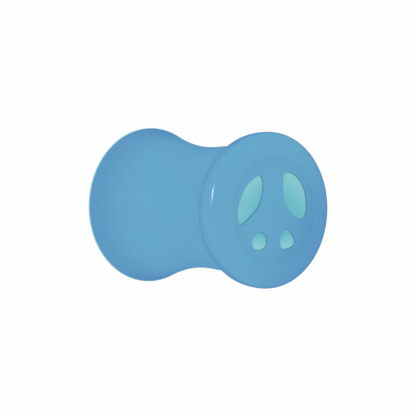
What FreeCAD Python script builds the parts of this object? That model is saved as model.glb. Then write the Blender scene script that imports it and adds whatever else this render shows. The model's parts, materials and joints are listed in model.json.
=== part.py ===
import FreeCAD, Part
import os
import Sketcher

# Paw washer cup, millimetres, +Z up, origin at the centre of the base underside.
#
# A waisted shell, standing on a ring round its slightly dished base, carries a liner that
# hangs by its lip on the shell's rim and fills four print-shaped windows in the base.
# Inside the liner stands a bristle sleeve with a floor brush in its foot.  A splash guard
# sits in the mouth: a conical frame, a seal ring, a membrane rim clamped under a clip
# ring, and eight flaps on living hinges.

NEAR = 0.01  # tolerance when edges are picked by position

# Driving dimensions.  Text is a spreadsheet formula on the entries above it.
# Endings: _r radius from the cup's axis, _z, _low, _high and _top heights.
# A "pull" is a middle pole of a cubic.
DIMS = {
    # shell, outside: dished base, standing ring, bulge, neck, flare
    "wall": 2.0,
    "dish_z": 1.9, "dish_r": 28.5, "dish_pull_r": 31.3, "ring_pull_r": 31.2, "ring_r": 34.0,
    "flat_r": 36.0, "foot_pull_r": 43.2, "foot_pull_z": 2.4, "bulge_r": 46.5, "bulge_z": 6.3,
    "flank_pull_z": 23.0, "neck_pull_z": 15.1, "neck_r": 38.4, "neck_z": 32.6,
    "waist_pull_z": 54.6, "flare_pull_r": 32.4, "flare_pull_z": 70.6,
    "shell_top": 118.8, "shell_top_r": 49.2,
    # shell, inside
    "shell_floor": 4.2, "in_flat_r": 36.5, "in_foot_pull_r": 42.6, "in_foot_pull_z": 5.4,
    "in_bulge_r": "bulge_r - wall", "in_bulge_z": 8.0, "in_flank_pull_z": 20.4,
    "in_neck_r": "neck_r - wall", "in_flare_pull_r": "flare_pull_r - wall",
    "in_flare_pull_z": 70.7, "in_top_r": 47.1,
    # liner, outside and lip
    "liner_low": 4.4, "liner_foot_r": 33.6, "liner_foot_z": 5.8, "liner_r": 35.0,
    "liner_neck_z": 62.0, "liner_pull_z": 77.4, "liner_flare_pull_r": 39.0,
    "liner_flare_pull_z": 96.3, "liner_top_r": 46.72,
    "lip_r": 49.55, "lip_thick": 1.2, "cup_top": "shell_top + lip_thick", "lip_round": 0.45,
    # liner, bore
    "mouth_r": 45.35, "bore_flare_pull_r": 37.65, "bore_flare_pull_z": 98.1,
    "bore_pull_z": 76.6, "bore_r": 33.2, "bore_neck_z": 62.5, "liner_floor": 6.4,
    # windows in the shell and the liner bosses that fill them
    "window_len": 5.0, "window_round": 0.3,
    "boss_fit": 0.991, "boss_root": 4.8, "boss_len": 2.3, "boss_round": 0.15,
    # bristle sleeve
    "fit_gap": 0.1,
    "sleeve_r": "bore_r - fit_gap", "sleeve_bore": 31.6,
    "sleeve_low": "liner_floor + fit_gap", "sleeve_top": 74.0,
    "collar_z": 71.6, "collar_bore": 30.4, "collar_foot_z": 70.0,
    "row_in": 23.4, "row_out": 32.2, "row_half": 0.9, "row_count": 20,
    "row_low": 14.0, "row_high": 66.0, "row_len": "row_high - row_low",
    # floor brush: a disc with a centre tuft and two tuft rings
    "brush_r": "sleeve_bore - fit_gap", "brush_top": 8.1, "tuft_top": 16.7, "tuft_r": 2.0,
    "tuft_pitch": 9.0, "tuft_width": 2.4,
    "tuft1_in": 8.6, "tuft1_out": "tuft1_in + tuft_width",
    "tuft2_in": "tuft1_in + tuft_pitch", "tuft2_out": "tuft2_in + tuft_width",
    # guard frame: cone, outside groove, shelf, and an inside bead over the clip ring
    "guard_low": 107.0, "guard_low_r": 40.8, "guard_top": 118.6, "guard_top_r": 44.5,
    "groove_low": 113.65, "groove_low_r": 42.92, "groove_high": 115.55,
    "groove_high_r": 43.53, "groove_in": 41.55, "guard_in_top": 41.9,
    "shelf_in": 33.6, "shelf_top": 109.1, "pocket_r": 39.9,
    "bead_low": 112.25, "bead_r": 39.45, "bead_z": 112.5, "bead_high": 113.2,
    "guard_round": 0.6,
    # seal ring
    "seal_r": 42.5, "seal_wire": 0.9, "seal_z": "(groove_low + groove_high) / 2",
    # membrane rim; its opening tool passes overcut beyond both faces
    "flap_count": 8, "sheet_r": 39.6, "sheet_thick": 1.2, "hinge_in": 31.25, "overcut": 1.0,
    "opening_r": "hinge_in / cos(180 deg / flap_count)",
    "opening_low": "shelf_top - overcut", "opening_height": "sheet_thick + 2 * overcut",
    # clip ring
    "clip_in": 34.2, "clip_r": 39.75, "clip_low": "shelf_top + sheet_thick",
    "clip_top": 112.2, "clip_round": 0.5,
    # flaps, with half widths that leave flap_gap between neighbours
    "flap_end": 31.2, "flap_tip": 8.0, "flap_gap": 0.6, "flap_bead": 0.59,
    "flap_inset": "flap_gap / 2 / cos(180 deg / flap_count)",
    "flap_end_half": "tan(180 deg / flap_count) * flap_end - flap_inset",
    "flap_tip_half": "tan(180 deg / flap_count) * flap_tip - flap_inset",
}

# Print marks: centre (x, y), then the (x, y) poles of the closed outline.
# East is +X; the small marks lie on the -Y side.
MARKS = {
    "big_east": ((17.3, 7.4), [
        (8.0, 23.4), (17.7, 17.8), (22.9, 12.8), (28.6, 1.0),
        (26.4, -10.2), (15.3, -0.4), (10.1, 2.5), (6.5, 14.7)]),
    "big_west": ((-17.7, 7.8), [
        (-8.7, 23.5), (-18.6, 21.3), (-25.9, 13.4), (-28.2, 0.7),
        (-25.0, -8.9), (-15.8, -4.4), (-8.2, 3.6), (-8.5, 13.9)]),
    "small_east": ((11.0, -17.6), [
        (17.7, -16.1), (12.0, -11.5), (5.7, -12.9),
        (4.4, -19.9), (9.1, -23.3), (16.6, -22.3)]),
    "small_west": ((-10.7, -18.3), [
        (-16.4, -17.1), (-11.4, -10.5), (-7.5, -13.0),
        (-3.5, -20.4), (-7.6, -24.9), (-18.2, -21.7)]),
}


# --------------------------------------------------------------- spreadsheet
def mark_dims():
    """Sheet entries for each mark's centre, window poles and boss poles.

    A boss pole is the window's, drawn in towards the mark's centre by boss_fit."""
    dims = {}
    for mark, (centre, poles) in MARKS.items():
        for axis in (0, 1):
            middle = f"{mark}_{'xy'[axis]}"
            dims[middle] = centre[axis]
            for i, pole in enumerate(poles, 1):
                dims[f"{middle}{i}"] = pole[axis]
                dims[f"boss_{middle}{i}"] = f"{middle} + boss_fit * ({middle}{i} - {middle})"
    return dims


def fill_sheet(doc, dims):
    """Write the dimensions to a sheet and return the value of each alias."""
    sheet = doc.addObject("Spreadsheet::Sheet", "dims")
    for i, (alias, value) in enumerate(dims.items(), 1):
        sheet.set(f"A{i}", alias)
        sheet.set(f"B{i}", "=" + value if isinstance(value, str) else repr(value))
        sheet.setAlias(f"B{i}", alias)
    doc.recompute()
    return {alias: float(sheet.get(alias)) for alias in dims}


doc = FreeCAD.newDocument("paw_washer_cup")
size = fill_sheet(doc, {**DIMS, **mark_dims()})


# ------------------------------------------------------------------- helpers
def bind(obj, prop, alias):
    """Set a length and tie it to the sheet."""
    setattr(obj, prop, size[alias])
    obj.setExpression(prop, "dims." + alias)


def raise_to(obj, alias, turn=0.0):
    """Stand a primitive at a sheet height, turned about Z by some degrees."""
    spin = FreeCAD.Rotation(FreeCAD.Vector(0, 0, 1), turn)
    obj.Placement = FreeCAD.Placement(FreeCAD.Vector(0, 0, size[alias]), spin)
    obj.setExpression(".Placement.Base.z", "dims." + alias)


def make_body(label):
    body = doc.addObject("PartDesign::Body", label)
    body.Label = label
    return body


def new_sketch(body, name, role, height=None):
    """Sketch on an origin plane, lifted to a sheet height if one is given."""
    sketch = body.newObject("Sketcher::SketchObject", name)
    plane = [f for f in body.Origin.OriginFeatures if f.Role == role][0]
    sketch.AttachmentSupport = (plane, [""])
    sketch.MapMode = "FlatFace"
    if height is not None:
        lift = FreeCAD.Vector(0, 0, size[height])
        sketch.AttachmentOffset = FreeCAD.Placement(lift, FreeCAD.Rotation())
        sketch.setExpression(".AttachmentOffset.Base.z", "dims." + height)
    doc.recompute()
    return sketch


# A sketch coordinate is 0, an alias, or an alias with a minus sign before it.
def number(term):
    if term == 0:
        return 0.0
    return -size[term[1:]] if term.startswith("-") else size[term]


def vectors(points):
    return [FreeCAD.Vector(number(x), number(y), 0) for x, y in points]


def pin_point(sketch, geo, pos, point):
    """Hold one point of the sketch at the sheet's coordinates."""
    for kind, axis, term in zip(("DistanceX", "DistanceY"), (-2, -1), point):
        place = number(term)
        if term == 0:
            sketch.addConstraint(Sketcher.Constraint("PointOnObject", geo, pos, axis))
            continue
        # Distances are positive, so a negative place is measured towards the origin.
        ends = (-1, 1, geo, pos) if place > 0 else (geo, pos, -1, 1)
        i = sketch.addConstraint(Sketcher.Constraint(kind, *ends, abs(place)))
        alias = term.lstrip("-")
        sign = "" if size[alias] > 0 else "-"
        sketch.setExpression(f"Constraints[{i}]", f"{sign}dims.{alias}")


def outline(sketch, pieces):
    """Closed outline.  A point starts a straight line; a list of a point and
    two pulls starts a cubic.  Each piece ends where the next one starts."""
    pieces = [p if isinstance(p, list) else [p] for p in pieces]
    count = len(pieces)
    ids = []
    for i, piece in enumerate(pieces):
        places = vectors(piece + [pieces[(i + 1) % count][0]])
        if len(piece) == 1:
            ids.append(sketch.addGeometry(Part.LineSegment(*places), False))
        else:
            curve = Part.BSplineCurve()
            curve.buildFromPolesMultsKnots(places, [4, 4], [0.0, 1.0], False, 3)
            ids.append(sketch.addGeometry(curve, False))
            sketch.exposeInternalGeometry(ids[-1])
    for i in range(count):
        joint = Sketcher.Constraint("Coincident", ids[i], 2, ids[(i + 1) % count], 1)
        sketch.addConstraint(joint)
    for geo, piece in zip(ids, pieces):
        pin_point(sketch, geo, 1, piece[0])
        # The poles follow the curve in the geometry list, the start pole first.
        for i, pull in enumerate(piece[1:], 2):
            pin_point(sketch, geo + i, 3, pull)


def closed_curve(sketch, poles):
    """Smooth closed cubic on the given poles."""
    count = len(poles)
    knots = [float(i) for i in range(count + 1)]
    curve = Part.BSplineCurve()
    curve.buildFromPolesMultsKnots(vectors(poles), [1] * (count + 1), knots, True, 3)
    geo = sketch.addGeometry(curve, False)
    sketch.exposeInternalGeometry(geo)
    for i, pole in enumerate(poles, 1):
        pin_point(sketch, geo + i, 3, pole)


def draw_marks(body, name, prefix="", height=None):
    """Sketch of the four marks, from the aliases with the given prefix."""
    sketch = new_sketch(body, name, "XY_Plane", height)
    for mark, (_, poles) in MARKS.items():
        stem = prefix + mark
        closed_curve(sketch, [(f"{stem}_x{i}", f"{stem}_y{i}")
                              for i in range(1, len(poles) + 1)])
    doc.recompute()
    return sketch


def revolve(body, name, pieces):
    """Full turn about Z of an (r, z) outline."""
    sketch = new_sketch(body, name + "_profile", "XZ_Plane")
    outline(sketch, pieces)
    doc.recompute()
    turned = body.newObject("PartDesign::Revolution", name)
    turned.Profile = sketch
    turned.ReferenceAxis = (sketch, ["V_Axis"])
    turned.Angle = 360.0
    doc.recompute()
    return turned


def extrude(body, kind, name, sketch, length, reverse=False):
    """Pad or Pocket of a sketch."""
    feature = body.newObject("PartDesign::" + kind, name)
    feature.Profile = sketch
    bind(feature, "Length", length)
    feature.Reversed = reverse
    doc.recompute()
    return feature


def is_level(box):
    return box.ZLength < NEAR


def round_edges(body, name, base, keep, radius):
    """Round the edges of base whose bounding boxes keep() picks."""
    picked = [f"Edge{i}" for i, edge in enumerate(base.Shape.Edges, 1) if keep(edge.BoundBox)]
    if not picked:
        raise RuntimeError(name + ": no edge to round")
    fillet = body.newObject("PartDesign::Fillet", name)
    fillet.Base = (base, picked)
    bind(fillet, "Radius", radius)
    body.Tip = fillet
    doc.recompute()
    return fillet


def require_change(before, after, least):
    """Stop unless a feature changed the volume by at least this many mm3."""
    if abs(after.Shape.Volume - before.Shape.Volume) < least:
        raise RuntimeError(after.Name + ": too little changed")


# -------------------------------------------------------------------- pieces
def outer_shell():
    body = make_body("outer_shell")
    wall = revolve(body, "shell_wall", [
        (0, "dish_z"),
        [("dish_r", "dish_z"), ("dish_pull_r", "dish_z"), ("ring_pull_r", 0)],
        ("ring_r", 0),
        [("flat_r", 0), ("foot_pull_r", 0), ("bulge_r", "foot_pull_z")],
        [("bulge_r", "bulge_z"), ("bulge_r", "flank_pull_z"), ("neck_r", "neck_pull_z")],
        [("neck_r", "neck_z"), ("neck_r", "waist_pull_z"), ("flare_pull_r", "flare_pull_z")],
        ("shell_top_r", "shell_top"),
        [("in_top_r", "shell_top"), ("in_flare_pull_r", "in_flare_pull_z"),
         ("in_neck_r", "waist_pull_z")],
        [("in_neck_r", "neck_z"), ("in_neck_r", "neck_pull_z"),
         ("in_bulge_r", "in_flank_pull_z")],
        [("in_bulge_r", "in_bulge_z"), ("in_bulge_r", "in_foot_pull_z"),
         ("in_foot_pull_r", "shell_floor")],
        ("in_flat_r", "shell_floor"),
        (0, "shell_floor"),
    ])
    sketch = draw_marks(body, "window_outlines")
    windows = extrude(body, "Pocket", "windows", sketch, "window_len", reverse=True)
    require_change(wall, windows, least=1500)
    # Window edges on the dished underside; the dish's own rim is far wider.
    widest_mark = 30
    round_edges(body, "window_edges", windows,
                lambda box: abs(box.ZMax - size["dish_z"]) < NEAR
                and box.XLength < widest_mark and is_level(box), "window_round")
    return body


def wash_liner():
    body = make_body("wash_liner")
    wall = revolve(body, "liner_wall", [
        (0, "liner_low"),
        ("liner_foot_r", "liner_low"),
        ("liner_r", "liner_foot_z"),
        [("liner_r", "liner_neck_z"), ("liner_r", "liner_pull_z"),
         ("liner_flare_pull_r", "liner_flare_pull_z")],
        ("liner_top_r", "shell_top"),
        ("lip_r", "shell_top"),
        ("lip_r", "cup_top"),
        [("mouth_r", "cup_top"), ("bore_flare_pull_r", "bore_flare_pull_z"),
         ("bore_r", "bore_pull_z")],
        ("bore_r", "bore_neck_z"),
        ("bore_r", "liner_floor"),
        (0, "liner_floor"),
    ])
    sketch = draw_marks(body, "boss_outlines", "boss_", "boss_root")
    bosses = extrude(body, "Pad", "bosses", sketch, "boss_len", reverse=True)
    require_change(wall, bosses, least=900)
    boss_low = size["boss_root"] - size["boss_len"]
    soft = round_edges(body, "boss_edges", bosses,
                       lambda box: box.ZMax < boss_low + NEAR, "boss_round")
    # Both outer edges of the lip.
    round_edges(body, "lip_edges", soft,
                lambda box: box.ZMin > size["shell_top"] - NEAR
                and box.XLength > 2 * size["lip_r"] - 0.1 and is_level(box), "lip_round")
    return body


def bristle_sleeve():
    body = make_body("bristle_sleeve")
    tube = revolve(body, "sleeve_wall", [
        ("sleeve_bore", "sleeve_low"), ("sleeve_r", "sleeve_low"), ("sleeve_r", "sleeve_top"),
        ("collar_bore", "sleeve_top"), ("collar_bore", "collar_z"),
        ("sleeve_bore", "collar_foot_z")])
    sketch = new_sketch(body, "row_outline", "XY_Plane", "row_low")
    outline(sketch, [("row_in", "-row_half"), ("row_out", "-row_half"),
                     ("row_out", "row_half"), ("row_in", "row_half")])
    doc.recompute()
    row = extrude(body, "Pad", "bristle_row", sketch, "row_len")
    rows = body.newObject("PartDesign::PolarPattern", "bristle_rows")
    rows.Originals = [row]
    rows.Axis = (sketch, ["N_Axis"])
    rows.Angle = 360.0
    rows.Occurrences = int(size["row_count"])
    rows.setExpression("Occurrences", "dims.row_count")
    body.Tip = rows
    doc.recompute()
    require_change(tube, rows, least=9000)
    return body


def floor_brush():
    body = make_body("floor_brush")
    revolve(body, "brush_disc", [
        (0, "sleeve_low"), ("brush_r", "sleeve_low"), ("brush_r", "brush_top"),
        ("tuft2_out", "brush_top"), ("tuft2_out", "tuft_top"),
        ("tuft2_in", "tuft_top"), ("tuft2_in", "brush_top"),
        ("tuft1_out", "brush_top"), ("tuft1_out", "tuft_top"),
        ("tuft1_in", "tuft_top"), ("tuft1_in", "brush_top"),
        ("tuft_r", "brush_top"), ("tuft_r", "tuft_top"), (0, "tuft_top")])
    return body


def guard_frame():
    body = make_body("guard_frame")
    ring = revolve(body, "guard_ring", [
        ("shelf_in", "guard_low"), ("guard_low_r", "guard_low"),
        ("groove_low_r", "groove_low"), ("groove_in", "groove_low"),
        ("groove_in", "groove_high"), ("groove_high_r", "groove_high"),
        ("guard_top_r", "guard_top"), ("guard_in_top", "guard_top"),
        ("pocket_r", "bead_high"), ("bead_r", "bead_z"), ("pocket_r", "bead_low"),
        ("pocket_r", "shelf_top"), ("shelf_in", "shelf_top")])
    # The top edges and the shelf's inner edges.
    round_edges(body, "guard_edges", ring,
                lambda box: is_level(box) and (box.ZMin > size["guard_top"] - NEAR
                or box.XLength < 2 * size["shelf_in"] + 0.1), "guard_round")
    return body


def seal_ring():
    """Torus in the guard's groove."""
    seal = doc.addObject("Part::Torus", "seal_ring")
    bind(seal, "Radius1", "seal_r")
    bind(seal, "Radius2", "seal_wire")
    raise_to(seal, "seal_z")
    return seal


def membrane_rim():
    """Disc on the guard's shelf; its opening has one side for each flap."""
    blank = doc.addObject("Part::Cylinder", "membrane_blank")
    bind(blank, "Radius", "sheet_r")
    bind(blank, "Height", "sheet_thick")
    raise_to(blank, "shelf_top")
    opening = doc.addObject("Part::Prism", "membrane_opening")
    opening.Polygon = int(size["flap_count"])
    bind(opening, "Circumradius", "opening_r")
    bind(opening, "Height", "opening_height")
    raise_to(opening, "opening_low", turn=180.0 / size["flap_count"])
    rim = doc.addObject("Part::Cut", "membrane_rim")
    rim.Base = blank
    rim.Tool = opening
    return rim


def clip_ring():
    """Ring that clamps the membrane on the guard's shelf."""
    body = make_body("clip_ring")
    ring = revolve(body, "clip_section", [
        ("clip_in", "clip_low"), ("clip_r", "clip_low"),
        ("clip_r", "clip_top"), ("clip_in", "clip_top")])
    round_edges(body, "clip_edges", ring,
                lambda box: box.ZMin > size["clip_top"] - NEAR and box.XLength > 10,
                "clip_round")
    return body


def make_flap(index):
    """Trapezium, drawn along +X, its wide end rounded about its living hinge."""
    name = f"flap_{index + 1}"
    body = make_body(name)
    sketch = new_sketch(body, name + "_outline", "XY_Plane", "shelf_top")
    outline(sketch, [("flap_tip", "-flap_tip_half"), ("flap_end", "-flap_end_half"),
                     ("flap_end", "flap_end_half"), ("flap_tip", "flap_tip_half")])
    doc.recompute()
    leaf = extrude(body, "Pad", name + "_leaf", sketch, "sheet_thick")
    round_edges(body, name + "_bead", leaf,
                lambda box: box.XMin > size["flap_end"] - NEAR and is_level(box), "flap_bead")
    spin = FreeCAD.Rotation(FreeCAD.Vector(0, 0, 1), 360.0 / size["flap_count"] * index)
    body.Placement = FreeCAD.Placement(FreeCAD.Vector(), spin)
    return body


parts = [outer_shell(), wash_liner(), bristle_sleeve(), floor_brush(), guard_frame(),
         seal_ring(), membrane_rim(), clip_ring()]
parts += [make_flap(i) for i in range(int(size["flap_count"]))]
doc.recompute()

# ----------------------------------------------------------- check and write
for obj in doc.Objects:
    bad = [word for word in obj.State if word in ("Invalid", "Error")]
    if bad:
        raise RuntimeError(f"{obj.Name}: {', '.join(bad)}")
for obj in parts:
    shape = obj.Shape
    if shape.isNull() or not shape.isValid() or len(shape.Solids) != 1:
        raise RuntimeError(obj.Label + ": bad shape")

os.makedirs("parts", exist_ok=True)
for obj in parts:
    obj.Shape.exportStep(f"parts/{obj.Label}.step")
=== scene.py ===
"""A washing cup: tinted outer shell, wash liner, bristle insert and a guard with eight soft flaps.

The cup stands upright on z = 0 with its axis on Z and its mouth at the top. Mesh sizes are in
millimetres and scaled by MM; sizes in materials, lights and camera are in metres unless noted.
"""
import bpy
import bmesh
import json
import math
import random
from mathutils import Matrix, Vector

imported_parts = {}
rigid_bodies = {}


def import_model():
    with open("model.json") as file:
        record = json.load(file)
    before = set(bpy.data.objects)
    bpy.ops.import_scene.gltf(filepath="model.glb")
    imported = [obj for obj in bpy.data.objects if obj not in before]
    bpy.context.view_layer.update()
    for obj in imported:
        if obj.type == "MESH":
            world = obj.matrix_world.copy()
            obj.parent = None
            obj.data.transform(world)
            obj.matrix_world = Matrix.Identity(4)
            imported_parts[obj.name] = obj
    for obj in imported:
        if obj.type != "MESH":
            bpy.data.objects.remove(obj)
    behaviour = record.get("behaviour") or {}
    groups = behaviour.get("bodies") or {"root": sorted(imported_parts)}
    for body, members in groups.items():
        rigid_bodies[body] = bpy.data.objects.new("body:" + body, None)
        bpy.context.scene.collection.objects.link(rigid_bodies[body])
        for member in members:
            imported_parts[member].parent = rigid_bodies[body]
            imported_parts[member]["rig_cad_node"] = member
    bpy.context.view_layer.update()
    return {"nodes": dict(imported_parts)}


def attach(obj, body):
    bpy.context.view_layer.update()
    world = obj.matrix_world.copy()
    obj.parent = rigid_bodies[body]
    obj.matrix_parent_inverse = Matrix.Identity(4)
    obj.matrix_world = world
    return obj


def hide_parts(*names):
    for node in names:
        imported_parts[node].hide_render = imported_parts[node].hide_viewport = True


MM = 0.001

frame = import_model()
cad_parts = frame["nodes"]
random.seed(604)


# ---------------------------------------------------------------- node graphs
class Graph:
    """Builds nodes in a tree. Wherever a value is expected, a socket may be given instead."""

    def __init__(self, tree):
        self.tree = tree

    def link(self, source, target):
        self.tree.links.new(source, target)

    def node(self, kind, inputs=(), **settings):
        made = self.tree.nodes.new("ShaderNode" + kind)
        for key, value in settings.items():
            setattr(made, key, value)
        for key, value in dict(inputs).items():
            socket = made.inputs[key]
            if isinstance(value, bpy.types.NodeSocket):
                self.link(value, socket)
            elif socket.type == "RGBA" and len(value) == 3:
                socket.default_value = (*value, 1)
            else:
                socket.default_value = value
        return made

    def math(self, operation, *values, clamp=False):
        made = self.node("Math", enumerate(values), operation=operation, use_clamp=clamp)
        return made.outputs[0]

    def plus(self, first, second, clamp=False):
        return self.math("ADD", first, second, clamp=clamp)

    def times(self, first, second, clamp=False):
        return self.math("MULTIPLY", first, second, clamp=clamp)

    def one_minus(self, value, clamp=False):
        return self.math("SUBTRACT", 1.0, value, clamp=clamp)

    def length_2d(self, x, y):
        return self.math("SQRT", self.plus(self.times(x, x), self.times(y, y)))

    def mix(self, factor, first, second, mode="MIX"):
        # Inputs 6 and 7 are the colour pair of the Mix node.
        inputs = {0: factor, 6: first, 7: second}
        return self.node("Mix", inputs, data_type="RGBA", blend_type=mode).outputs[2]

    def mix_shader(self, factor, first, second):
        return self.node("MixShader", {0: factor, 1: first, 2: second}).outputs[0]

    def smooth(self, value, start, end, low=0.0, high=1.0):
        """Eases from low to high while the value goes from start to end."""
        inputs = {0: value, 1: start, 2: end, 3: low, 4: high}
        return self.node("MapRange", inputs, interpolation_type="SMOOTHSTEP").outputs[0]

    def ramp(self, factor, stops):
        made = self.node("ValToRGB", {0: factor})
        made.color_ramp.interpolation = "LINEAR"
        elements = made.color_ramp.elements
        while len(elements) < len(stops):
            elements.new(0.5)
        for element, (position, colour) in zip(elements, stops):
            element.position = position
            element.color = (*colour, 1)
        return made.outputs[0]

    def noise(self, vector, scale, detail, roughness=0.5):
        inputs = {"Vector": vector, "Scale": scale, "Detail": detail, "Roughness": roughness}
        return self.node("TexNoise", inputs).outputs["Fac"]

    def xyz(self, vector):
        return self.node("SeparateXYZ", {0: vector}).outputs[:3]

    def camera_above(self):
        """1 when the viewer is above the floor, 0 when it looks up from below it."""
        eye = self.node("VectorTransform", {0: (0, 0, 0)}, vector_type="POINT",
                        convert_from="CAMERA", convert_to="WORLD").outputs[0]
        return self.math("GREATER_THAN", self.xyz(eye)[2], 0.0)


def new_graph(owner):
    """Empty graph for a material or a world."""
    owner.use_nodes = True
    owner.node_tree.nodes.clear()
    return Graph(owner.node_tree)


def srgb(*channels):
    """Linear colour from 0-255 sRGB channels."""
    shares = [channel / 255 for channel in channels]
    return tuple(c / 12.92 if c <= 0.04045 else ((c + 0.055) / 1.055) ** 2.4 for c in shares)


# ------------------------------------------------------------------ materials
def moulded(name, base, limb_shade_colour, rough, spec, crease_shade=0.25, crease_shade_above=None, extra_painted_shade=None,
            limb_shade_from=0.45, smear=0.2, wear=0.5, sss=0.1, sss_scale=0.003,
            grain=0.003, grain_scale=900):
    """Moulded plastic or silicone.

    base          colour, or a function of (graph, position) that gives one
    limb_shade_colour  painted limb shade: darker colour where the wall is seen side-on, from
    limb_shade_from to full grazing crease_shade  strength of the painted shade in creases, only above
    crease_shade_above (mm) if given extra_painted_shade  function of (graph, position, limb_shade_in)
    that gives the share of the painted shade colour
    smear, wear   variation of the roughness, and strength of the rubbed edges
    grain         height of the surface grain in mm
    """
    material = bpy.data.materials.new(name)
    graph = new_graph(material)
    position = graph.node("TexCoord").outputs["Object"]
    normal = graph.node("NewGeometry").outputs["Normal"]

    # Painted limb shade: the colour darkens where the wall turns side-on to the viewer.
    facing = graph.node("LayerWeight", {"Blend": 0.5}).outputs["Facing"]
    limb_shade_share = graph.smooth(facing, start=limb_shade_from, end=1.0)
    plain = base(graph, position) if callable(base) else base
    if extra_painted_shade:
        limb_shade_share = extra_painted_shade(graph, position, limb_shade_share)
    colour = graph.mix(limb_shade_share, plain, limb_shade_colour)

    # Long soft flow marks, drawn out along the height.
    drawn_out = graph.node("Mapping", {"Vector": position, "Scale": (1.0, 1.0, 0.3)}).outputs[0]
    flow = graph.noise(drawn_out, scale=26.0, detail=1.0, roughness=0.4)
    tone = graph.ramp(flow, [(0.2, (0.972, 0.982, 0.988)), (0.8, (1.018, 1.012, 1.008))])
    colour = graph.mix(1.0, colour, tone, mode="MULTIPLY")

    # Painted shade: creases and recesses, found by occlusion, turn darker.
    openness = graph.node("AmbientOcclusion", {"Distance": 0.012}, samples=6).outputs["AO"]
    painted_crease_shade = graph.times(graph.one_minus(openness, clamp=True), crease_shade, clamp=True)
    if crease_shade_above is not None:
        height = graph.xyz(position)[2]
        fade_height = 8
        painted_crease_shade = graph.times(painted_crease_shade, graph.smooth(
            height, start=crease_shade_above * MM, end=(crease_shade_above + fade_height) * MM))
    crease_shade_darkening = 0.62
    colour = graph.mix(painted_crease_shade, colour, tuple(c * crease_shade_darkening for c in limb_shade_colour))

    # Patchily rubbed edges, found where a rounded normal leaves the true one.
    round_normal = graph.node("Bevel", {"Radius": 0.0004}, samples=4).outputs[0]
    agreement = graph.node("VectorMath", {0: round_normal, 1: normal}, operation="DOT_PRODUCT")
    at_edge = graph.smooth(graph.one_minus(agreement.outputs["Value"], clamp=True),
                           start=0.01, end=0.25)
    patches = graph.smooth(graph.noise(position, scale=120.0, detail=1.0), start=0.25, end=0.75)
    rubbed = graph.times(at_edge, graph.times(patches, wear))
    pale = graph.mix(0.3, plain, (0.86, 0.94, 0.97))
    colour = graph.mix(rubbed, colour, pale)

    # Slight smears; rubbed edges are duller.
    smears = graph.smooth(graph.noise(position, scale=34.0, detail=3.0), start=0.2, end=0.8,
                          low=rough * (1 - smear), high=rough * (1 + smear))
    rubbed_roughness = 0.15
    roughness = graph.plus(smears, graph.times(rubbed, rubbed_roughness))

    grain_height = graph.noise(position, scale=grain_scale, detail=2.0)
    bump = graph.node("Bump", {"Strength": 1.0, "Distance": grain * MM, "Height": grain_height})
    surface = graph.node("BsdfPrincipled", {
        "Base Color": colour,
        "Roughness": roughness,
        "Normal": bump.outputs[0],
        "IOR": 1.46,
        "Specular IOR Level": spec,
        "Subsurface Weight": sss,
        "Subsurface Radius": (0.5, 0.9, 1.0),
        "Subsurface Scale": sss_scale,
        "Coat Roughness": 0.12,
    })
    graph.node("OutputMaterial", {"Surface": surface.outputs[0]})
    return material


def liner_colour_with_painted_shade(graph, position):
    """Painted shade and light on the underside: deep teal around a point, paler outwards; the walls
    take one pale tone.
    """
    centre_x, centre_y = -1.4, -8.0         # mm
    x_squeeze, minus_y_stretch = 0.85, 2.24  # the painted shade falls off faster towards -Y
    deep_radius, fade_width = 16.0, 17.5    # mm
    x, y, z = graph.xyz(position)
    x = graph.times(graph.plus(graph.math("DIVIDE", x, MM), -centre_x), x_squeeze)
    y = graph.plus(graph.math("DIVIDE", y, MM), -centre_y)
    y = graph.math("MAXIMUM", y, graph.times(y, -minus_y_stretch))
    past_deep = graph.math("SUBTRACT", graph.length_2d(x, y), deep_radius)
    underside = graph.ramp(graph.math("DIVIDE", past_deep, fade_width), [
        (0.0, srgb(111, 195, 209)),
        (0.5, srgb(133, 207, 216)),
        (1.0, srgb(158, 216, 222)),
    ])
    on_wall = graph.smooth(z, start=5 * MM, end=12 * MM)
    return graph.mix(on_wall, underside, srgb(146, 207, 218))


def shell_painted_shade(graph, position, limb_shade_in):
    """Painted shade on the tinted wall: darker towards the mouth and on the -X, -Y side of the foot,
    added to the painted limb shade.
    """
    mouth_shade_strength, foot_shade_strength = 0.55, 0.62
    waist_hiding, waist_top_loss = 0.85, 0.6    # how far the waist holds back the painted limb shade
    minus_x_weight, minus_y_weight = 0.85, 0.52  # the painted shade on the foot is darkest on its -X, -Y side
    x, y, z = graph.xyz(position)
    mouth = graph.times(graph.smooth(z, start=0.086, end=0.120), mouth_shade_strength)

    low = graph.one_minus(graph.smooth(z, start=0.010, end=0.030))
    side = graph.plus(graph.times(x, -minus_x_weight), graph.times(y, -minus_y_weight))
    on_side = graph.smooth(side, start=-0.008, end=0.048)
    foot = graph.times(graph.times(on_side, low), foot_shade_strength)

    waist_top = graph.times(graph.smooth(z, start=0.085, end=0.118), waist_top_loss)
    waist = graph.times(graph.smooth(z, start=0.011, end=0.023), graph.one_minus(waist_top))
    kept = graph.times(limb_shade_in, graph.one_minus(graph.times(waist, waist_hiding)))
    # No painted limb shade on the middle of the underside.
    outside = graph.math("MAXIMUM",
                         graph.smooth(graph.length_2d(x, y), start=0.034, end=0.037),
                         graph.smooth(z, start=0.003, end=0.008))
    kept = graph.times(kept, outside)
    return graph.plus(graph.plus(kept, mouth), foot, clamp=True)


# What the silicone parts share: coarser, finer-spaced grain and hardly any rubbed edges.
SILICONE = dict(spec=0.3, wear=0.1, grain=0.008, grain_scale=1500)

# The shell carries painted shade: darker limbs, a darker mouth and a darker -X, -Y side of the foot.
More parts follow.
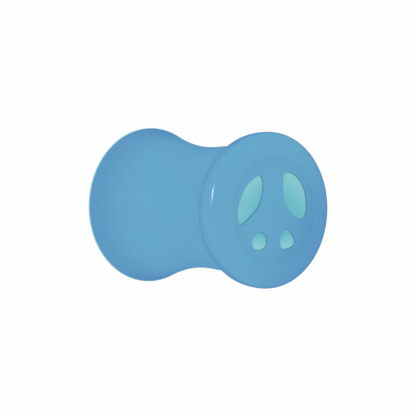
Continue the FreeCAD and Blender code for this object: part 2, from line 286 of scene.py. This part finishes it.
SHELL = moulded("shell_blue_moulding", base=srgb(103, 169, 203), limb_shade_colour=srgb(86, 142, 190),
                rough=0.18, spec=0.3, crease_shade=0.16, crease_shade_above=6, extra_painted_shade=shell_painted_shade,
                limb_shade_from=0.4)
# The liner's underside carries painted shade near its centre and painted light further out.
LINER = moulded("liner_cyan_moulding", base=liner_colour_with_painted_shade, limb_shade_colour=srgb(112, 184, 204),
                rough=0.33, spec=0.25, crease_shade=0.15, smear=0.14, sss=0.15)
GUARD = moulded("guard_cyan_moulding", base=srgb(128, 198, 214), limb_shade_colour=srgb(96, 168, 194),
                rough=0.22, spec=0.35)
BRISTLE = moulded("bristle_silicone_soft", base=srgb(164, 216, 226), limb_shade_colour=srgb(128, 192, 210),
                  rough=0.46, crease_shade=0.35, sss=0.35, sss_scale=0.004, **SILICONE)
FLAP = moulded("flap_silicone_soft", base=srgb(184, 226, 233), limb_shade_colour=srgb(146, 204, 218),
               rough=0.42, crease_shade=0.3, sss=0.35, sss_scale=0.004, **SILICONE)
SEAL = moulded("seal_silicone_soft", base=srgb(222, 236, 240), limb_shade_colour=srgb(180, 205, 214),
               rough=0.5, sss=0.3, **SILICONE)


def paint(part, material):
    # Pieces marked as CAD nodes keep their material slots.
    if part.get("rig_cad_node") is None:
        part.data.materials.clear()
    if len(part.material_slots) == 0:
        part.data.materials.append(material)
    for slot in part.material_slots:
        slot.material = material


for part_name, part_material in (("outer_shell", SHELL), ("wash_liner", LINER),
                                 ("guard_frame", GUARD), ("clip_ring", GUARD)):
    paint(cad_parts[part_name], part_material)


# ----------------------------------------------------------------- mesh tools
def add_soft_part(part, bm, material, body):
    """Adds the mesh as <part>_soft in place of the CAD piece of that name."""
    name = part + "_soft"
    bmesh.ops.recalc_face_normals(bm, faces=bm.faces[:])
    mesh = bpy.data.meshes.new(name)
    bm.to_mesh(mesh)
    bm.free()
    for polygon in mesh.polygons:
        polygon.use_smooth = True
    mesh.materials.append(material)
    added = bpy.data.objects.new(name, mesh)
    bpy.context.scene.collection.objects.link(added)
    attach(added, body)
    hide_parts(part)


def bridge(bm, ring, following):
    """Quads between two rings of the same count."""
    count = len(ring)
    for k in range(count):
        after = (k + 1) % count
        bm.faces.new((ring[k], ring[after], following[after], following[k]))


def axial_loop(bm, profile, segments):
    """Closed body round the Z axis; each profile station is (radius at an angle, height)."""
    rings = []
    for radius_at, z in profile:
        ring = []
        for k in range(segments):
            angle = 2 * math.pi * k / segments
            r = radius_at(angle)
            ring.append(bm.verts.new((r * MM * math.cos(angle), r * MM * math.sin(angle),
                                      z * MM)))
        rings.append(ring)
    for i, ring in enumerate(rings):
        bridge(bm, ring, rings[(i + 1) % len(rings)])


def lathe(bm, outline, segments):
    """Closed ring from a closed (r, z) outline."""
    axial_loop(bm, [(lambda angle, r=r: r, z) for r, z in outline], segments)


def rounded(outline, steps):
    """Turns each corner of a closed (r, z, corner radius) outline into an arc."""
    longest_share = 0.45    # of a side, that one arc may take
    points = []
    for i, (r, z, radius) in enumerate(outline):
        corner = Vector((r, z))
        back = Vector(outline[i - 1][:2]) - corner
        ahead = Vector(outline[(i + 1) % len(outline)][:2]) - corner
        longest = longest_share * min(back.length, ahead.length)
        back.normalize()
        ahead.normalize()
        half_angle = math.acos(back.dot(ahead)) / 2
        reach = min(radius / math.tan(half_angle), longest)
        radius = reach * math.tan(half_angle)
        centre = corner + (back + ahead).normalized() * (radius / math.sin(half_angle))
        start = corner + back * reach - centre
        end = corner + ahead * reach - centre
        start_angle = math.atan2(start.y, start.x)
        end_angle = math.atan2(end.y, end.x)
        sweep = (end_angle - start_angle + math.pi) % (2 * math.pi) - math.pi
        for k in range(steps + 1):
            angle = start_angle + sweep * k / steps
            points.append((centre.x + radius * math.cos(angle),
                           centre.y + radius * math.sin(angle)))
    return points


def bristle(bm, base, direction, length, root_radius, tip_radius, lean):
    """One tapered bristle with a round tip and a small root fillet."""
    segments = 10
    buried = 0.4
    across = direction.orthogonal().normalized()
    other = direction.cross(across)
    # (distance from the base, radius): fillet, taper, then the round tip
    stations = [(-buried, root_radius * 1.5), (0.05, root_radius * 1.28),
                (0.45, root_radius * 1.06), (1.2, root_radius)]
    for share in (0.35, 0.6, 0.8):
        stations.append((length * share, root_radius + (tip_radius - root_radius) * share))
    for degrees in (0, 25, 50, 72):
        angle = math.radians(degrees)
        stations.append((length - tip_radius + tip_radius * math.sin(angle),
                         tip_radius * math.cos(angle)))
    rings = []
    for distance, radius in stations:
        centre = base + direction * distance + lean * (max(distance, 0) / length) ** 2
        ring = []
        for k in range(segments):
            angle = 2 * math.pi * k / segments
            spoke = across * math.cos(angle) + other * math.sin(angle)
            ring.append(bm.verts.new((centre + spoke * radius) * MM))
        rings.append(ring)
    tip = bm.verts.new((base + direction * length + lean) * MM)
    root = bm.verts.new((base - direction * buried) * MM)
    for ring, following in zip(rings, rings[1:]):
        bridge(bm, ring, following)
    for k in range(segments):
        after = (k + 1) % segments
        bm.faces.new((rings[-1][k], rings[-1][after], tip))
        bm.faces.new((rings[0][after], rings[0][k], root))


# ------------------------------------------------------------- bristle sleeve
SLEEVE_INNER, SLEEVE_OUTER, SLEEVE_LIP = 31.6, 33.1, 30.4   # radii
INSERT_BOTTOM, SLEEVE_TOP = 6.5, 74.0
SLEEVE_OUTLINE = [  # r, z, corner radius
    (SLEEVE_INNER, INSERT_BOTTOM, 0.3),
    (SLEEVE_OUTER, INSERT_BOTTOM, 0.5),
    (SLEEVE_OUTER, SLEEVE_TOP, 0.7),
    (SLEEVE_LIP, SLEEVE_TOP, 0.8),
    (SLEEVE_LIP, 71.6, 0.7),
    (SLEEVE_INNER, 70.0, 0.9),
]
SLEEVE_COLUMNS = 20
BRISTLE_PITCH = 2.9
BRISTLES_FROM, BRISTLES_TO = 15.0, 65.6     # heights


def bristle_sleeve():
    """Tube with upright columns of bristles pointing at the axis; odd columns sit half a pitch up."""
    bm = bmesh.new()
    lathe(bm, rounded(SLEEVE_OUTLINE, steps=4), segments=160)
    for column in range(SLEEVE_COLUMNS):
        angle = 2 * math.pi * column / SLEEVE_COLUMNS
        outward = Vector((math.cos(angle), math.sin(angle), 0))
        z = BRISTLES_FROM + (BRISTLE_PITCH / 2 if column % 2 else 0.0)
        while z < BRISTLES_TO:
            lean = Vector((random.uniform(-0.25, 0.25), random.uniform(-0.25, 0.25),
                           random.uniform(-0.5, 0.1)))
            bristle(bm, outward * (SLEEVE_INNER + 0.1) + Vector((0, 0, z)), -outward,
                    length=8.2 + random.uniform(-0.15, 0.1),
                    root_radius=0.86, tip_radius=0.5, lean=lean)
            z += BRISTLE_PITCH
    add_soft_part("bristle_sleeve", bm, BRISTLE, "insert")


bristle_sleeve()

# ---------------------------------------------------------------- floor brush
DISC_TOP = 8.1
DISC_OUTLINE = [    # r, z
    (0.001, INSERT_BOTTOM), (31.1, INSERT_BOTTOM), (31.5, 6.9),
    (31.5, 7.7), (31.1, DISC_TOP), (0.001, DISC_TOP),
]
BRUSH_RINGS = [     # ring radius, bristle count, turn in bristle steps, bristle length
    (0.0, 1, 0.0, 8.6),
    (5.2, 6, 0.0, 8.5),
    (9.8, 12, 0.5, 8.5),
    (14.3, 16, 0.5, 8.4),
    (18.8, 22, 0.0, 8.4),
]


def floor_brush():
    """Disc with rings of upright bristles."""
    bm = bmesh.new()
    lathe(bm, DISC_OUTLINE, segments=128)
    bmesh.ops.remove_doubles(bm, verts=bm.verts[:], dist=1e-6)
    for ring_radius, count, turn, length in BRUSH_RINGS:
        for k in range(count):
            angle = 2 * math.pi * (k + turn) / count
            base = Vector((ring_radius * math.cos(angle), ring_radius * math.sin(angle),
                           DISC_TOP))
            lean = Vector((random.uniform(-0.3, 0.3), random.uniform(-0.3, 0.3), 0))
            bristle(bm, base, Vector((0, 0, 1)), length=length - random.uniform(0, 0.2),
                    root_radius=0.95, tip_radius=0.55, lean=lean)
    add_soft_part("floor_brush", bm, BRISTLE, "insert")


floor_brush()


# ------------------------------------------------------------------ seal ring
def seal_ring():
    """Ring whose section is a circle slightly widened sideways."""
    ring_radius, ring_z = 42.5, 114.6
    section_radius, mean_share, widening = 0.95, 0.88, 0.05
    section_points = 28
    outline = []
    for k in range(section_points):
        angle = 2 * math.pi * k / section_points
        radius = section_radius * (mean_share + widening * math.cos(2 * angle))
        outline.append((ring_radius + radius * math.cos(angle),
                        ring_z + radius * math.sin(angle)))
    bm = bmesh.new()
    lathe(bm, outline, segments=192)
    add_soft_part("seal_ring", bm, SEAL, "guard")


seal_ring()

# ------------------------------------------------------ membrane rim and flaps
FLAP_COUNT = 8
FLAP_ANGLE = 2 * math.pi / FLAP_COUNT
MEMBRANE_Z = 109.7      # middle plane of the rim and the flaps
OPENING_INRADIUS = 31.3
RIM_OUTER = 39.25
RIM_EDGE = 0.55         # rounding of the opening edge
RIM_TOP, RIM_BOTTOM = 110.28, 109.12


def membrane_rim():
    """Flat ring with an eight-sided opening and a round outside."""
    def from_opening(offset):
        def radius_at(angle):
            off_middle = (angle + FLAP_ANGLE / 2) % FLAP_ANGLE - FLAP_ANGLE / 2
            return OPENING_INRADIUS / math.cos(off_middle) + offset
        return radius_at

    def from_outside(offset):
        return lambda angle: RIM_OUTER - offset

    profile = []
    for degrees in range(-90, 91, 30):
        angle = math.radians(degrees)
        profile.append((from_opening(RIM_EDGE - RIM_EDGE * math.cos(angle)),
                        MEMBRANE_Z + 0.56 * math.sin(angle)))
    profile += [
        (from_opening(1.2), 110.27),
        (from_opening(1.7), 110.22),
        (from_opening(2.1), 110.22),
        (from_outside(5.0), RIM_TOP),
        (from_outside(0.25), RIM_TOP),
        (from_outside(0.0), 110.0),
        (from_outside(0.0), 109.4),
        (from_outside(0.25), RIM_BOTTOM),
        (from_outside(5.0), RIM_BOTTOM),
        (from_opening(2.0), RIM_BOTTOM),
    ]
    bm = bmesh.new()
    axial_loop(bm, profile, segments=256)
    add_soft_part("membrane_rim", bm, FLAP, "guard")


membrane_rim()

FLAP_TIP, FLAP_END = 8.1, 31.15     # distances from the axis, flap pointing along +X
FLAP_GAP = 0.3                      # from the line midway between neighbouring flaps
TIP_ROUND_LENGTH, TIP_ROUND_DEPTH = 2.0, 1.0
LEAF_HALF, MARGIN_EXTRA, MARGIN_WIDTH = 0.42, 0.13, 0.9     # half thicknesses, then a width
RIB_SHARES = (-0.5, 0.0, 0.5)       # places across the half width
RIB_EXTRA, RIB_WIDTH = 0.1, 0.42
RIB_START, RIB_RISE = 2.5, 2        # from the tip
RIB_STOP, RIB_FALL = 29.2, 1.5      # from the axis
HINGE_X, BEAD_RADIUS = 30.61, 0.59
WEB_HALF, WEB_FROM = 0.30, 0.55
WEB_BLEND_FROM, WEB_BLEND_LENGTH = 0.5, 1.9     # from the hinge towards the tip
LONG_EDGE_ROUND, TIP_EDGE_ROUND = 0.4, 0.5


def clamp01(value):
    return max(0.0, min(1.0, value))


def quarter_round(share):
    """Height of a unit quarter circle, rising from 0 to 1 as the share does."""
    return math.sqrt(1 - (1 - share) ** 2)


def flap_half_width(x):
    half = math.tan(FLAP_ANGLE / 2) * x - FLAP_GAP / math.cos(FLAP_ANGLE / 2)
    if x < FLAP_TIP + TIP_ROUND_LENGTH:
        half -= TIP_ROUND_DEPTH * (1 - quarter_round((x - FLAP_TIP) / TIP_ROUND_LENGTH))
    return half


def flap_half_thickness(x, y, half_width, from_side):
    """Raised margin and three ribs on the leaf, a thin web, then the bead at the hinge."""
    from_tip = x - FLAP_TIP
    thick = LEAF_HALF + MARGIN_EXTRA * math.exp(-(min(from_side, from_tip) / MARGIN_WIDTH) ** 2)
    rib = max(math.exp(-((y - share * half_width) / RIB_WIDTH) ** 2) for share in RIB_SHARES)
    thick += (RIB_EXTRA * rib * clamp01((from_tip - RIB_START) / RIB_RISE)
              * clamp01((RIB_STOP - x) / RIB_FALL))
    from_hinge = HINGE_X - x
    if from_hinge < WEB_BLEND_FROM + WEB_BLEND_LENGTH:
        web = WEB_HALF if from_hinge > WEB_FROM else 0.0
        bead = math.sqrt(BEAD_RADIUS ** 2 - min(abs(from_hinge), BEAD_RADIUS) ** 2)
        blend = clamp01((from_hinge - WEB_BLEND_FROM) / WEB_BLEND_LENGTH)
        blend = blend * blend * (3 - 2 * blend)
        thick = max(bead, web + (thick - web) * blend) if from_hinge > 0 else bead
    for distance, reach in ((from_side, LONG_EDGE_ROUND), (from_tip, TIP_EDGE_ROUND)):
        if distance < reach:
            thick *= quarter_round(distance / reach) * 0.75 + 0.25
    return thick


def flap(index):
    """One silicone leaf, built along +X and turned to its place."""
    bm = bmesh.new()
    along, across = 44, 26
    top, bottom = [], []
    for i in range(along + 1):
        x = FLAP_TIP + (FLAP_END - FLAP_TIP) * (i / along)
        half_width = flap_half_width(x)
        top.append([])
        bottom.append([])
        for j in range(across + 1):
            share = -1 + 2 * j / across
            y = half_width * share
            thick = flap_half_thickness(x, y, half_width, half_width * (1 - abs(share)))
            top[i].append(bm.verts.new((x * MM, y * MM, (MEMBRANE_Z + thick) * MM)))
            bottom[i].append(bm.verts.new((x * MM, y * MM, (MEMBRANE_Z - thick) * MM)))
    for i in range(along):
        for j in range(across):
            bm.faces.new((top[i][j], top[i + 1][j], top[i + 1][j + 1], top[i][j + 1]))
            bm.faces.new((bottom[i][j], bottom[i][j + 1], bottom[i + 1][j + 1],
                          bottom[i + 1][j]))
    for i in range(along):
        for j, order in ((0, 1), (across, -1)):
            side = (top[i][j], bottom[i][j], bottom[i + 1][j], top[i + 1][j])
            bm.faces.new(side[::order])
    for j in range(across):
        for i in (0, along):
            bm.faces.new((top[i][j], top[i][j + 1], bottom[i][j + 1], bottom[i][j]))
    bmesh.ops.remove_doubles(bm, verts=bm.verts[:], dist=2e-6)
    bmesh.ops.rotate(bm, verts=bm.verts[:], cent=(0, 0, 0),
                     matrix=Matrix.Rotation(FLAP_ANGLE * index, 3, "Z"))
    name = "flap_%d" % (index + 1)
    add_soft_part(name, bm, FLAP, name)


for flap_index in range(FLAP_COUNT):
    flap(flap_index)

# --------------------------------------------------------------------- camera
# The camera is below the cup on its +X side, looking up at the base.
CAMERA_TILT = math.radians(42.189)      # off the downward axis
CAMERA_AZIMUTH = math.radians(5.5)      # from +X towards +Y
CAMERA_DISTANCE = 0.944299
CAMERA_YAW, CAMERA_PITCH = math.radians(-2.411), math.radians(-0.02)    # off the origin
CAMERA_ROLL = math.radians(2.706)


def camera_axes(outward):
    """Right, up and forward of a camera that lies outward from the origin."""
    up_hint = Vector((-math.sin(CAMERA_AZIMUTH), math.cos(CAMERA_AZIMUTH), 0))
    right = (-outward).cross(up_hint).normalized()
    up = right.cross(-outward)
    forward = (-outward + right * math.tan(CAMERA_YAW) + up * math.tan(CAMERA_PITCH)).normalized()
    right = forward.cross(up).normalized()
    up = right.cross(forward)
    cos_roll, sin_roll = math.cos(CAMERA_ROLL), math.sin(CAMERA_ROLL)
    return right * cos_roll + up * sin_roll, -right * sin_roll + up * cos_roll, forward


to_camera = Vector((math.sin(CAMERA_TILT) * math.cos(CAMERA_AZIMUTH),
                    math.sin(CAMERA_TILT) * math.sin(CAMERA_AZIMUTH),
                    -math.cos(CAMERA_TILT)))
camera_right, camera_up, camera_forward = camera_axes(to_camera)
camera_data = bpy.data.cameras.new("photo_camera")
camera = bpy.data.objects.new("photo_camera", camera_data)
bpy.context.scene.collection.objects.link(camera)
pose = Matrix((camera_right, camera_up, -camera_forward)).transposed().to_4x4()
pose.translation = to_camera * CAMERA_DISTANCE
camera.matrix_world = pose
camera_data.sensor_width = 36.0     # mm, as is the lens
camera_data.lens = 138.461538
camera_data.clip_start = 0.01
camera_data.clip_end = 20
bpy.context.scene.camera = camera
bpy.context.scene.view_settings.view_transform = "Standard"


# ---------------------------------------------------------------------- floor
def floor_material():
    """Pale floor, clear from below so the base shows, and fading out with distance."""
    material = bpy.data.materials.new("pale_floor")
    graph = new_graph(material)
    pale = graph.node("BsdfDiffuse", {"Color": (0.86, 0.87, 0.88)}).outputs[0]
    clear = graph.node("BsdfTransparent").outputs[0]
    position = graph.node("TexCoord").outputs["Object"]
    distance = graph.node("VectorMath", {0: position}, operation="LENGTH").outputs["Value"]
    fade = graph.smooth(distance, start=0.12, end=0.9, low=1.0, high=0.0)
    shown = graph.times(graph.camera_above(), fade)
    graph.node("OutputMaterial", {"Surface": graph.mix_shader(shown, clear, pale)})
    return material


def add_floor():
    bm = bmesh.new()
    bmesh.ops.create_grid(bm, x_segments=1, y_segments=1, size=3.0)
    mesh = bpy.data.meshes.new("floor")
    bm.to_mesh(mesh)
    bm.free()
    floor = bpy.data.objects.new("floor", mesh)
    floor.location = (0, 0, -0.0002)
    bpy.context.scene.collection.objects.link(floor)
    mesh.materials.append(floor_material())


add_floor()


# --------------------------------------------------------------------- lights
def area_light(name, location, rotation, power, size, size_y=None, above=False):
    """Disc, or rectangle if size_y is given, lit only for a viewer above (or below) the floor."""
    data = bpy.data.lights.new(name, "AREA")
    data.shape = "RECTANGLE" if size_y else "DISK"
    data.size = size
    if size_y:
        data.size_y = size_y
    data.energy = power
    data.use_nodes = True
    graph = Graph(data.node_tree)
    emission = [node for node in data.node_tree.nodes if node.type == "EMISSION"][0]
    lit = graph.camera_above()
    if not above:
        lit = graph.one_minus(lit)
    graph.link(lit, emission.inputs["Strength"])
    light = bpy.data.objects.new(name, data)
    bpy.context.scene.collection.objects.link(light)
    light.location = location
    light.rotation_mode = "QUATERNION"
    light.rotation_quaternion = rotation
    return light


cup_middle = Vector((0, 0, 0.05))
# Up and to the left in the camera's view, on the camera's side of the cup.
key_low_place = cup_middle - camera_right * 0.75 + camera_up * 0.75 - camera_forward * 0.9
AIMED_LIGHTS = [    # name, place, size, power, for a viewer above
    ("key_low", key_low_place, 0.9, 0.4, False),
    ("key_high", (-0.7, -0.8, 1.1), 0.9, 10.5, True),
    ("fill_high", (0.9, -0.5, 0.7), 1.0, 2.2, True),
    ("back_high", (0.1, 1.0, 0.9), 0.8, 2.5, True),
]
for light_name, place, light_size, light_power, is_above in AIMED_LIGHTS:
    aim = (cup_middle - Vector(place)).to_track_quat("-Z", "Y")
    area_light(light_name, place, aim, power=light_power, size=light_size, above=is_above)


def glint_light():
    """Narrow lamp that only shows as a small glint on the shoulder of the bulge."""
    spot = Vector((0.0444, 0.0124, 0.0042))
    outward = Vector((0.918, 0.383, 0.105)).normalized()
    short_hint = Vector((-0.057, 0.227, -0.233))
    short_axis = (short_hint - outward * short_hint.dot(outward)).normalized()
    long_axis = short_axis.cross(outward)
    rotation = Matrix((long_axis, short_axis, outward)).transposed().to_quaternion()
    light = area_light("glint_low", spot + outward * 0.9, rotation, power=5.5,
                       size=0.34, size_y=0.07)
    light.visible_diffuse = False


glint_light()


# ---------------------------------------------------------------------- world
def studio_world():
    """White backdrop for the camera, soft light for the cup, a dim room for reflections."""
    world = bpy.data.worlds.new("studio")
    bpy.context.scene.world = world
    graph = new_graph(world)
    rays = graph.node("LightPath").outputs
    above = graph.camera_above()
    dimming_above = 0.38
    backdrop = graph.node("Background", {"Color": (0.99, 0.99, 0.99), "Strength": 1.0})
    ambient = graph.node("Background", {
        "Color": (0.97, 0.99, 1.0),
        "Strength": graph.one_minus(graph.times(above, dimming_above)),
    })
    # Seen from below, gloss shows a dim blue room, so that edges deepen instead of whitening.
    reflected = graph.node("Background", {
        "Color": graph.mix(above, (0.10, 0.28, 0.50), (0.60, 0.62, 0.64)),
        "Strength": 1.0,
    })
    room = graph.mix_shader(rays["Is Glossy Ray"], ambient.outputs[0], reflected.outputs[0])
    seen = graph.mix_shader(rays["Is Camera Ray"], room, backdrop.outputs[0])
    graph.node("OutputWorld", {"Surface": seen})


studio_world()
